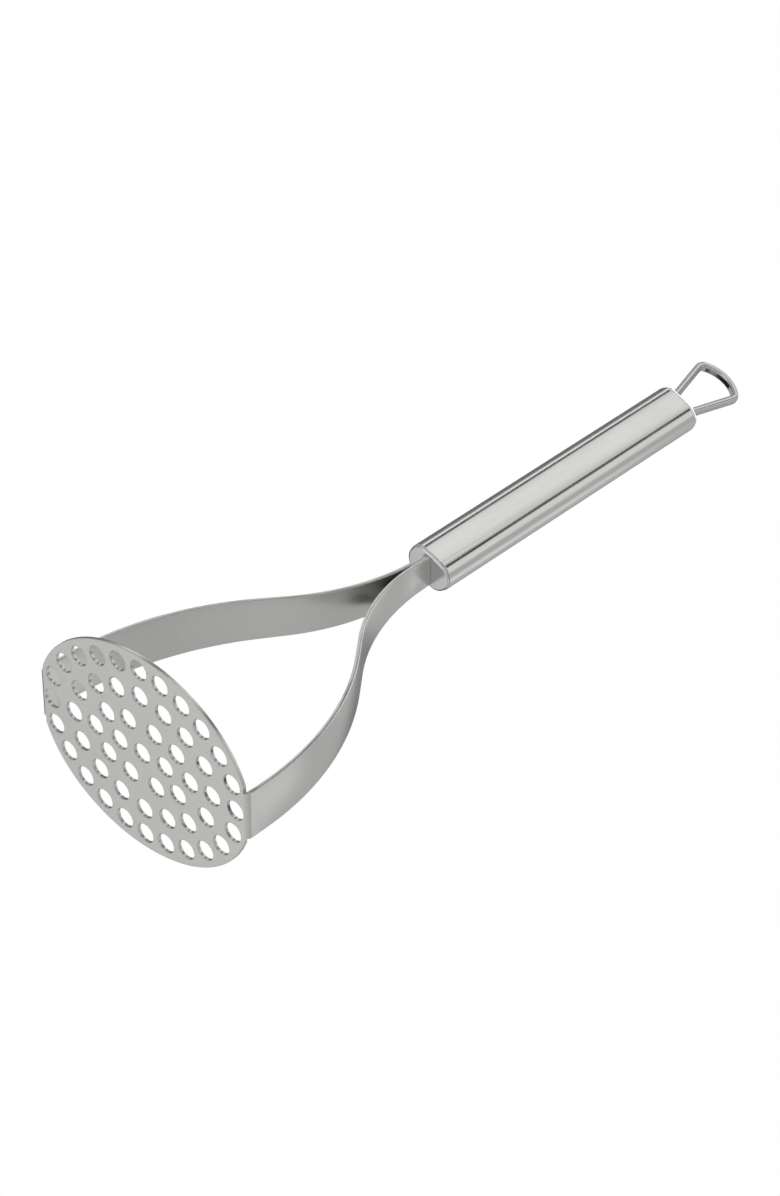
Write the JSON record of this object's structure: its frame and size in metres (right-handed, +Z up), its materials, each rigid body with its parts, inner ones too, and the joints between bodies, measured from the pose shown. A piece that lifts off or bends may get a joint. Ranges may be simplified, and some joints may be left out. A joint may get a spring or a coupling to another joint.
{
  "type": "potato masher",
  "caption": "Hand potato masher: oval perforated plate on two legs bent from the same sheet, hollow oval handle with a closed end and a hanging loop.",
  "frame": {"origin": "centre of the plate's underside, which is the face that mashes and that the tool stands on", "axes": "+Z up the handle towards the hanging loop, X across the two legs, Y along the plate's short axis"},
  "size_m": [0.1006, 0.0834, 0.3217],
  "materials": {
    "pressed_sheet": "fine satin stainless sheet",
    "tube_steel": "brushed along the handle, fairly bright",
    "cap_steel": "satin, with a polished rim",
    "bar_steel": "polished bent bar"
  },
  "bodies": {
    "root": {"mashing_head": "pressed_sheet", "front_cap": "cap_steel", "handle_tube": "tube_steel", "rear_cap": "cap_steel", "hanging_loop": "bar_steel"}
  },
  "joints": []
}
